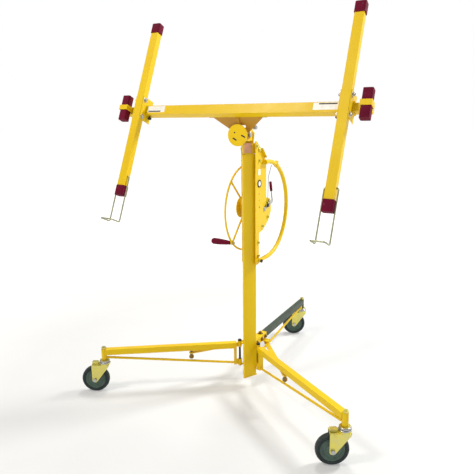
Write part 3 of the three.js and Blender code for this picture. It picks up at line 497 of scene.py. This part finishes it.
def dressed(node, bevel=PLATE_BEVEL, segments=2, angle=35, material=None):
    """A copy of a CAD node with its edges rounded, standing for the node."""
    source = frame["nodes"][node]
    mesh = source.data.copy()
    bm = bmesh.new()
    bm.from_mesh(mesh)
    bmesh.ops.remove_doubles(bm, verts=bm.verts, dist=1e-5)
    bmesh.ops.dissolve_limit(bm, angle_limit=math.radians(0.6), verts=bm.verts, edges=bm.edges)
    bm.to_mesh(mesh)
    bm.free()
    mesh.shade_smooth()
    mesh.set_sharp_from_angle(angle=math.radians(angle))
    obj = bpy.data.objects.new(f"{node}_body", mesh)
    bpy.context.collection.objects.link(obj)
    bevelled(obj, bevel, segments, angle)
    return finish_piece(obj, body_of_node[node], slot_of_node[node], [node], material)


# ---- camera, floor and light -----------------------------------------------------------------
def make_camera():
    data = bpy.data.cameras.new("camera")
    data.lens = CAMERA_LENS
    data.sensor_width = 36
    data.clip_end = 60
    camera = bpy.data.objects.new("camera", data)
    bpy.context.collection.objects.link(camera)
    forward = CAMERA_HEADING.normalized() * math.cos(math.radians(CAMERA_PITCH))
    forward.z = -math.sin(math.radians(CAMERA_PITCH))
    right = forward.cross(Z_AXIS).normalized()
    up = right.cross(forward)
    turn = Matrix.Rotation(math.radians(CAMERA_ROLL), 4, forward)
    basis = Matrix((right, up, -forward)).transposed().to_4x4()
    camera.matrix_world = Matrix.Translation(MAST + CAMERA_OFFSET) @ turn @ basis
    bpy.context.scene.camera = camera


def make_floor():
    """Seamless white floor: its own glow rises with distance so that it meets the backdrop."""
    def build(bm):
        bmesh.ops.create_grid(bm, x_segments=2, y_segments=2, size=40)

    floor = new_object("floor", build)
    recipe = Recipe("pale_floor")
    cloud = recipe.span(recipe.noise(1.5, 3), 0.3, 0.7)
    recipe.set(Base_Color=recipe.mixed(cloud, (0.5, 0.505, 0.5, 1), (0.53, 0.535, 0.53, 1)))
    distance = recipe.node("ShaderNodeVectorMath", {0: recipe.coords}, operation="LENGTH")
    glow = recipe.span(distance.outputs["Value"], 1.2, 4.0, FLOOR_GLOW_NEAR, FLOOR_GLOW_FAR)
    recipe.set(Roughness=0.9, Emission_Color=(1, 1, 1, 1), Emission_Strength=glow)
    floor.data.materials.append(recipe.material)
    floor.location.z = -FLOOR_DROP


def area_light(name, place, target, size, power, colour=(1, 1, 1)):
    data = bpy.data.lights.new(name, "AREA")
    data.shape = "DISK"
    data.size = size
    data.energy = power
    data.color = colour
    light = bpy.data.objects.new(name, data)
    bpy.context.collection.objects.link(light)
    light.location = MAST + Vector(place)
    aim = (MAST + Vector(target)) - light.location
    light.rotation_euler = aim.to_track_quat("-Z", "Y").to_euler()


def make_world():
    """White along the horizon, dimmer overhead so that the key light models the faces."""
    world = bpy.data.worlds.new("studio")
    world.use_nodes = True
    tree = world.node_tree
    direction = tree.nodes.new("ShaderNodeTexCoord").outputs["Generated"]
    split = tree.nodes.new("ShaderNodeSeparateXYZ")
    fade = tree.nodes.new("ShaderNodeMapRange")
    fade.inputs["From Min"].default_value = 0.22
    fade.inputs["From Max"].default_value = 0.5
    fade.inputs["To Min"].default_value = WORLD_LOW
    fade.inputs["To Max"].default_value = WORLD_HIGH
    tree.links.new(direction, split.inputs[0])
    tree.links.new(split.outputs["Z"], fade.inputs["Value"])
    background = tree.nodes["Background"]
    background.inputs["Color"].default_value = (1, 1, 1, 1)
    tree.links.new(fade.outputs["Result"], background.inputs["Strength"])
    bpy.context.scene.world = world


def make_lights():
    bpy.context.scene.view_settings.view_transform = "Standard"
    area_light("right", (2.5, 2.7, 3.8), (0, 0, 0.9), 1.0, 190)
    area_light("front", (-2.0, -3.0, 5.0), (0, 0, 0.9), 1.0, 130, (1, 0.92, 0.8))
    area_light("back", (-0.6, 1.7, 5.0), (0, 0, 0.4), 1.2, 90)


make_camera()
make_floor()
make_world()
make_lights()


# ---- casters ---------------------------------------------------------------------------------
def make_caster(label, joint):
    """Tyre and moulded hub in place of the wheel solid, and the bearing race on top of the fork."""
    spin = joint_point(f"{joint}_wheel_spin")
    axis = Vector(joints[f"{joint}_wheel_spin"]["axis"])
    body = f"{joint}_wheel"
    tread = scaled(mirrored_profile([
        (-8, 45.6), (-13.2, 46.2), (-14.6, 48), (-15, 51), (-14.2, 51.6), (-14.2, 53.2),
        (-14.9, 53.8), (-14.6, 57.6), (-13, 59.2), (-10.2, 61.2), (-7.4, 62.6), (-4, 63.1),
        (-1, 63.2)]))
    tyre = new_object(
        f"{label}_tyre", lambda bm: add_lathe(bm, spin, axis, tread, 72, hollow=True), 50)
    finish_piece(tyre, body, "wheel_rubber", [f"{label}_caster_wheel"])

    disc = scaled(mirrored_profile([
        (-17.4, 5.4), (-17.4, 13.6), (-16.6, 14.8), (-12.5, 16), (-10.2, 18.5), (-9.6, 24),
        (-10.6, 25), (-10.6, 27), (-9.4, 28), (-9, 34.5), (-10.2, 35.5), (-10.2, 37.5),
        (-9.2, 38.5), (-9.6, 41), (-12.4, 43), (-12.6, 45.5)]))
    hub = new_object(
        f"{label}_hub", lambda bm: add_lathe(bm, spin, axis, disc, 64, hollow=True), 50)
    finish_piece(hub, body, "wheel_rubber", material=HUB_PLASTIC)

    stem = joint_point(f"{joint}_caster_swivel")
    race = scaled([
        (141.1, 23.2), (141.8, 24.4), (145, 24.6), (146, 23.4), (146.4, 20.9), (148.6, 20.9),
        (149.2, 22.4), (153.6, 22.6), (154.8, 21.8), (155.6, 20.4)])
    foot = Vector((stem.x, stem.y, 0))
    ring = new_object(f"{label}_race", lambda bm: add_lathe(bm, foot, Z_AXIS, race, 48), 30)
    finish_piece(ring, f"{joint}_swivel", "zinc")


# ---- winch -----------------------------------------------------------------------------------
def round_the_axle(centre, radius, angle):
    """Point at an angle from +Y towards +Z round an axis along X."""
    turn = math.radians(angle)
    return centre + Vector((0, radius * math.cos(turn), radius * math.sin(turn)))


def build_crank_wheel(bm):
    rim = [round_the_axle(RIM_CENTRE, RIM_RADIUS, 3.75 * i) for i in range(96)]
    add_tube(bm, rim, RIM_ROD, 14, closed=True)
    for i in range(SPOKES):
        angle = SPOKE_ANGLE + 360 / SPOKES * i
        root = round_the_axle(RIM_CENTRE, 34 * MM, angle)
        tip = round_the_axle(RIM_CENTRE, RIM_RADIUS - RIM_ROD * 0.4, angle)
        add_tube(bm, [root, tip], RIM_ROD, 12)
        out = (tip - root).normalized()
        weld = [(0, 4.4), (2, 4.9), (4.5, 5.6), (7, 6.2), (9, 5.6)]
        add_lathe(bm, tip - out * 9 * MM, out, scaled(weld), 14)
    plate = [(-3, 36.6), (-2.4, 37.6), (-1.2, 38), (1.2, 38), (2.4, 37.6), (3, 36.6)]
    add_lathe(bm, RIM_CENTRE, X_AXIS, scaled(plate), 56)
    boss = [(-22.4, 17.6), (-20.6, 16), (-5, 16), (-3.6, 17.2), (-2.8, 19)]
    add_lathe(bm, RIM_CENTRE, X_AXIS, scaled(boss), 48)
    disc = [(-27, 47.2), (-26.6, 48.4), (-25.6, 49), (-23.4, 49), (-22.4, 48.4), (-22, 47.2)]
    add_lathe(bm, RIM_CENTRE, X_AXIS, scaled(disc), 72)
    stud = round_the_axle(RIM_CENTRE, RIM_RADIUS, SPOKE_ANGLE + 180)
    eye = [(-5, 7.8), (-4.2, 9), (4.2, 9), (5, 7.8)]
    add_lathe(bm, stud, X_AXIS, scaled(eye), 28)


def make_crank():
    wheel = new_object("crank_wheel_rim", build_crank_wheel)
    finish_piece(wheel, "crank", "yellow_paint", ["crank_wheel"])
    stud = round_the_axle(RIM_CENTRE, RIM_RADIUS, SPOKE_ANGLE + 180)

    def build_hardware(bm):
        spindle = [(-107, 3.6), (-106, 5), (6, 5), (7, 4.4)]
        add_lathe(bm, stud, X_AXIS, scaled(spindle), 20)
        add_hex(bm, stud + Vector((4.8 * MM, 0, 0)), X_AXIS, 13 * MM, 5 * MM)
        for angle in (0, 120, 240):
            place = round_the_axle(RIM_CENTRE, 35 * MM, angle) - Vector((27 * MM, 0, 0))
            add_bolt(bm, place, -X_AXIS, 11 * MM)

    hardware = new_object("crank_hardware", build_hardware, 30)
    finish_piece(hardware, "crank", "zinc")

    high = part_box("crank_grip")[1]
    ridges = [(0, 6.6), (0.6, 7.4), (2, 7.8), (3.2, 7)]
    for i in range(10):
        start = 4.4 + 8.6 * i
        swell = 8.2 + 5.6 * math.sin(math.pi / 2 * min(1, start / 76))
        ridges += [(start, swell - 0.7), (start + 1.1, swell), (start + 6.2, swell + 0.2),
                   (start + 7.4, swell - 0.6)]
    ridges += [(91.5, 12.6), (94, 11.8), (97, 9.6), (98.6, 6.8), (99, 5.4)]
    inner = Vector((high.x, stud.y, stud.z))
    grip = new_object("crank_grip_ribs", lambda bm: add_lathe(
        bm, inner, -X_AXIS, scaled(ridges), 40), 60)
    finish_piece(grip, "grip", "maroon_rubber", ["crank_grip"])


def build_rope_turns(bm):
    """Rope laid side by side on the drum, one helix from flange to flange."""
    steps = ROPE_TURNS * 24
    start = MAST.x - ROPE_LAY / 2 * MM
    points = []
    for i in range(steps + 1):
        place = round_the_axle(CRANK, DRUM_RADIUS + 1.6 * MM, 15 * i + 180)
        points.append(Vector((start + ROPE_LAY * MM * i / steps, place.y, place.z)))
    add_tube(bm, points, 1.55 * MM, 8)


def make_drum():
    flange = [(-DRUM_HALF, 51), (-DRUM_HALF + 0.6, 52), (-DRUM_HALF + 3.4, 52),
              (-DRUM_HALF + 4, 51), (-DRUM_HALF + 4, DRUM_RADIUS / MM)]
    profile = mirrored_profile(flange)
    centre = Vector((MAST.x, CRANK.y, CRANK.z))
    drum = new_object("winch_drum_spool", lambda bm: add_lathe(
        bm, centre, X_AXIS, scaled(profile), 56), 30)
    finish_piece(drum, "crank", "zinc", ["winch_drum"])
    rope = new_object("winch_drum_rope", build_rope_turns, 60)
    finish_piece(rope, "crank", "cable_steel")


def loop_points():
    """The D of the hand loop: straight feet above and below, joined by half a circle."""
    centre = MAST + LOOP_CENTRE * MM
    foot = Vector((centre.x, MAST.y + LOOP_FOOT_Y * MM, centre.z - LOOP_RADIUS))
    points = [foot, centre + Vector((0, -20 * MM, -LOOP_RADIUS))]
    points += [round_the_axle(centre, LOOP_RADIUS, -90 + 4 * i) for i in range(46)]
    points.append(centre + Vector((0, -22 * MM, LOOP_RADIUS)))
    return points


def make_hand_loop():
    points = loop_points()
    top, low = points[-1], points[0]

    def build(bm):
        add_tube(bm, points, LOOP_TUBE, 20)
        inner = MAST.x + WINCH_X + 0.3 * MM
        add_box(bm, (inner, MAST.y + 64 * MM, top.z - 8 * MM),
                (top.x, MAST.y + 98 * MM, top.z + 2 * MM))
        add_box(bm, (inner, low.y - 4 * MM, low.z - 7 * MM),
                (low.x, low.y + 20 * MM, low.z + 7 * MM))

    loop = new_object("hand_loop_tube", build)
    bevelled(loop, 0.8 * MM, 2, 50)
    finish_piece(loop, "base", "yellow_paint", ["hand_loop"])


def on_winch(side, y, z, out=0.0):
    """Point on the outer face of a winch side plate, in the mast's millimetres."""
    return MAST + Vector((side * (WINCH_X + out * MM), y * MM, z * MM))


def make_winch_hardware():
    """Bolts and spacers of both side plates, the ratchet's bolt circle, a bush and a blank plate."""
    def build(bm):
        for y, z in SIDE_BOLTS:
            add_bolt(bm, on_winch(1, y, z), X_AXIS, 10 * MM)
            if y > 30:
                add_bolt(bm, on_winch(-1, y, z), -X_AXIS, 10 * MM)
        for y, z in THROUGH_BOLTS:
            add_tube(bm, [on_winch(-1, y, z), on_winch(1, y, z)], 5.5 * MM, 18)
        for k in range(6):
            angle = math.radians(60 * k + 15)
            y = RATCHET[0] + 17 * math.cos(angle)
            z = RATCHET[1] + 17 * math.sin(angle)
            add_bolt(bm, on_winch(1, y, z), X_AXIS, 6 * MM, washer=False)
        add_bolt(bm, on_winch(1, *RATCHET, 2.6), X_AXIS, 9 * MM)

    finish_piece(new_object("winch_hardware", build, 30), "base", "gold_zinc")

    def build_rings(bm):
        ring = [(0, 17), (2.4, 17), (3, 16.2), (3, 12.6), (1.8, 11.8), (0, 11.8)]
        add_lathe(bm, on_winch(1, *BUSH), X_AXIS, scaled(ring), 40, hollow=True)
        cup = [(0, 11.5), (2.2, 11.5), (2.8, 10.7), (2.8, 6.4), (0, 6)]
        add_lathe(bm, on_winch(1, *RATCHET), X_AXIS, scaled(cup), 32, hollow=True)

    finish_piece(new_object("winch_rings", build_rings, 30), "base", "black_steel")

    def build_bush(bm):
        face = [(0, 11.6), (1.6, 11.6), (2.2, 10.8), (2.2, 5), (1.4, 4.2)]
        add_lathe(bm, on_winch(1, *BUSH), X_AXIS, scaled(face), 32)
        low = on_winch(1, 26, 1000)
        add_box(bm, low, low + Vector((0.6, 22, 26)) * MM)

    bush = new_object("winch_bush", build_bush, 30)
    finish_piece(bush, "base", "yellow_paint", material=WHITE_PLASTIC)


def make_brake_wire():
    """Pull wire from the hand loop's clamp down to the ratchet."""
    centre = MAST + LOOP_CENTRE * MM
    clamp = round_the_axle(centre, LOOP_RADIUS, CLAMP_ANGLE)
    corners = [on_winch(1, 150, 1034, 6), on_winch(1, 119, 985, 5), on_winch(1, 117, 888, 4),
               on_winch(1, 124, 874, 3)]

    def build_wire(bm):
        add_tube(bm, bent_path(corners, 8 * MM, 5), 1.1 * MM, 8)

    finish_piece(new_object("brake_pull_wire", build_wire, 60), "base", "black_steel")

    def build_clamp(bm):
        tangent = X_AXIS.cross(clamp - centre).normalized()
        out = (clamp - centre).normalized()
        band = [(-8, 10.2), (-7.4, 11.4), (7.4, 11.4), (8, 10.2)]
        add_lathe(bm, clamp, tangent, scaled(band), 28)
        lug = [(9, 7), (9.6, 7.8), (17, 7.8), (18, 7)]
        add_lathe(bm, clamp, out, scaled(lug), 20)

    finish_piece(new_object("hand_loop_clamp", build_clamp, 40), "base", "yellow_paint")


def make_brake():
    dressed("brake_lever")
    tip = MAST + Vector((WINCH_X + 6 * MM, 139 * MM, 960 * MM))
    foot = MAST + Vector((WINCH_X + 6 * MM, 149.5 * MM, 917 * MM))
    out = (tip - foot).normalized()
    sleeve = [(0, 5.6), (1, 6.2), (10, 6), (22, 6.5), (34, 6), (42, 6.4), (44.4, 5)]
    grip = new_object("brake_lever_sleeve", lambda bm: add_lathe(
        bm, foot, out, scaled(sleeve), 24), 60)
    finish_piece(grip, "brake", "maroon_rubber")


def make_rope():
    """The lift cable, from the drum over the sheave and down inside the mast."""
    sheave = joint_point("sheave_turn")
    sheave.x = MAST.x
    wrap = DRUM_RADIUS + 1.8 * MM
    points = [Vector((MAST.x, CRANK.y - wrap, CRANK.z + 3 * MM)),
              Vector((MAST.x, sheave.y + SHEAVE_PITCH, sheave.z - 3 * MM))]
    points += [round_the_axle(sheave, SHEAVE_PITCH, 7.5 * i) for i in range(25)]
    points.append(Vector((MAST.x, sheave.y - SHEAVE_PITCH, ROPE_END_Z * MM)))
    rope = new_object("lift_rope", lambda bm: add_tube(bm, points, ROPE_RADIUS, 12), 60)
    finish_piece(rope, "base", "cable_steel", ["lift_cable"])


# ---- base ------------------------------------------------------------------------------------
def on_base(x, z, y):
    """Point in the mast's millimetres, for outlines in XZ that are carried along Y."""
    return MAST + Vector((x, y, z)) * MM


def make_base_hardware():
    """Saddle over the root of the rear leg, with its bolts."""
    def build_saddle(bm):
        inner = SADDLE_HALF - 3.7
        channel = [(-SADDLE_HALF, LEG_UNDER - 1), (-inner, LEG_UNDER - 1), (-inner, LEG_TOP + 0.2),
                   (inner, LEG_TOP + 0.2), (inner, LEG_UNDER - 1), (SADDLE_HALF, LEG_UNDER - 1),
                   (SADDLE_HALF, SADDLE_TOP), (-SADDLE_HALF, SADDLE_TOP)]
        add_plate(bm, on_base, channel, SADDLE_START, SADDLE_END)

    saddle = new_object("rear_leg_saddle", build_saddle, 30)
    bevelled(saddle, 1 * MM)
    finish_piece(saddle, "base", "yellow_paint")

    def build_bolts(bm):
        for y in (62, 112, 150):
            for side in (-1, 1):
                place = on_base(side * SADDLE_HALF, (LEG_UNDER + LEG_TOP) / 2, y)
                add_bolt(bm, place, X_AXIS * side, 11 * MM)
        add_bolt(bm, on_base(0, SADDLE_TOP, 132), Z_AXIS, 13 * MM)

    bolts = new_object("rear_leg_bolts", build_bolts, 30)
    finish_piece(bolts, "base", "black_steel", material=DARK_BRASS)


# ---- cradle ----------------------------------------------------------------------------------
def on_cradle(x, y, z):
    """Millimetres in the level cradle's frame to the row frame at rest."""
    return CRADLE @ (Vector((x, y, z)) * MM)


def make_hook(side, label):
    out = ARM_WIDTH / 2 + 7.8
    stub = ARM_WIDTH / 2 - 6
    corners = [(-stub, 0, 0), (-out, 0, 0), (-out, -HOOK_REACH, 0), (-out, -HOOK_REACH, HOOK_FOOT),
               (out, -HOOK_REACH, HOOK_FOOT), (out, -HOOK_REACH, 0), (out, 0, 0), (stub, 0, 0)]
    path = [on_cradle(side * ARM_X + p.x, HOOK_PIVOT_Y + p.y, ARM_LEVEL + p.z)
            for p in bent_path(corners, 8)]
    hook = new_object(f"{label}_hook_wire", lambda bm: add_tube(bm, path, 3 * MM, 14), 50)
    finish_piece(hook, f"{label}_board_hook", "zinc", [f"{label}_hook"], OLIVE_ZINC)


def make_label(name, x, half_width, flip):
    """Blank pale plate with a dark header bar, on the front face of the cross tube."""
    plate = rounded_rectangle(x, CROSS_Y + 3, half_width, 14, 2)
    obj = new_object(
        name, lambda bm: add_plate(bm, on_cradle, plate, CROSS_FACE, CROSS_FACE + 0.5), 30)
    finish_piece(obj, "cradle", "yellow_paint", material=WHITE_PLASTIC)
    bar = rounded_rectangle(x + flip * half_width * 0.15, CROSS_Y + 3 + flip * 9.5,
                            half_width * 0.7, 2.6, 0.8)
    header = new_object(
        f"{name}_header",
        lambda bm: add_plate(bm, on_cradle, bar, CROSS_FACE + 0.4, CROSS_FACE + 0.7), 30)
    finish_piece(header, "cradle", "black_steel")


def on_skirt(across, up, out):
    """Point on the right front face of the mast head's skirt, in millimetres."""
    normal = Vector((math.cos(math.radians(-30)), math.sin(math.radians(-30)), 0))
    along = Vector((-normal.y, normal.x, 0))
    return MAST + (along * across + normal * (SKIRT_INRADIUS + out) + Vector((0, 0, up))) * MM


def make_head_painted_shadow():
    """Tan plate on the mast head's skirt: a painted shadow of the tilting head above it."""
    outline = rounded_rectangle(-7, 1119, 20, 21, 1)
    label = new_object("head_painted_shadow_plate", lambda bm: add_plate(bm, on_skirt, outline, -0.1, 0.5), 30)
    finish_piece(label, body_of_node["mast_head"], "yellow_paint", material=TAN_PAINTED_SHADOW)


def on_disc(x, z, out):
    """Point on the round front plate of the tilting head, in millimetres from the tilt axis."""
    return TILT_AXIS + Vector((x, DISC_FRONT - out, z)) * MM


def make_disc_slot_shade():
    """Dark plates set just inside the hole and the two slanted slots of the round plate: painted
    shade in the openings.
    """
    lean = Matrix.Rotation(math.radians(SLOT_LEAN), 2)

    def build(bm):
        for x, z in DISC_SLOTS:
            outline = [lean @ Vector(corner) + Vector((x, z))
                       for corner in rounded_rectangle(0, 0, 10.4, 3.4, 1.2)]
            add_plate(bm, on_disc, outline, -2, -0.3)
        add_plate(bm, on_disc, rounded_rectangle(*DISC_HOLE, 3.9, 3.9, 3.8), -2, -0.3)

    slot_shade = new_object("tilt_disc_painted_slot_shade", build, 30)
    finish_piece(slot_shade, body_of_node["tilt_head"], "black_steel")


def make_cradle_hardware():
    """Bolts through the brackets, yoke and saddle, and the outriggers' thumb screws."""
    x_axis = CRADLE.to_3x3() @ X_AXIS
    y_axis = CRADLE.to_3x3() @ Vector((0, 1, 0))

    def build(bm):
        for side in (-1, 1):
            for y in (-38, 38):
                for face in (-1, 1):
                    place = on_cradle(
                        side * ARM_X + face * (ARM_WIDTH / 2 + 3.3), CROSS_Y + y, ARM_LEVEL)
                    add_bolt(bm, place, x_axis * face, 11 * MM)
            for x in (60, 100):
                place = on_cradle(side * x, CROSS_Y + 20, CROSS_Z - 22)
                add_bolt(bm, place, y_axis, 3.4 * MM, washer=False)

    hardware = new_object("cradle_hardware", build, 30)
    finish_piece(hardware, "cradle", "zinc")

    for side, label in ((-1, "left"), (1, "right")):
        def build_screw(bm, side=side):
            root = on_cradle(side * THUMB_SCREW_X, CROSS_Y - 20, CROSS_Z)
            add_tube(bm, [root, root - y_axis * 16 * MM], 3 * MM, 14)
            knob = [(8, 7), (9, 8.6), (15, 8.6), (16, 7)]
            add_lathe(bm, root, -y_axis, scaled(knob), 9)

        screw = new_object(f"{label}_thumb_screw", build_screw, 30)
        finish_piece(screw, "cradle", "black_steel")


# ---- everything ------------------------------------------------------------------------------
CASTERS = {"left_front": "left", "right_front": "right", "rear": "rear"}
for caster_label, caster_joint in CASTERS.items():
    make_caster(caster_label, caster_joint)
make_crank()
make_drum()
make_hand_loop()
make_winch_hardware()
make_brake()
make_brake_wire()
make_rope()
make_base_hardware()
for cradle_side, cradle_label in ((-1, "left"), (1, "right")):
    make_hook(cradle_side, cradle_label)
make_label("left_blank_label", -388, 46, -1)
make_label("right_blank_label", 386, 50, 1)
# Tan plate on the mast head's skirt, which paints the tilting head's shadow.
make_head_painted_shadow()
# Dark plates inside the round plate's hole and slots, which paint the shade in them.
make_disc_slot_shade()
make_cradle_hardware()
# The yoke takes the darker brown-tan coat, which is painted shade.
dressed("cradle_yoke", material=YOKE_PAINTED_SHADE)
dressed("top_sheave_pin", material=MATERIALS["gold_zinc"])
dressed("left_stay_latch", material=DARK_BRASS)
dressed("right_stay_latch", material=DARK_BRASS)

FINISHED = {node for obj in bpy.data.objects for node in obj.get("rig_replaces", [])}
for node in sorted(set(frame["nodes"]) - FINISHED):
    width = next((size for part, size in SOFT_BEVELS.items() if part in node), PLATE_BEVEL)
    dressed(node, width, 3 if width > PLATE_BEVEL else 2)
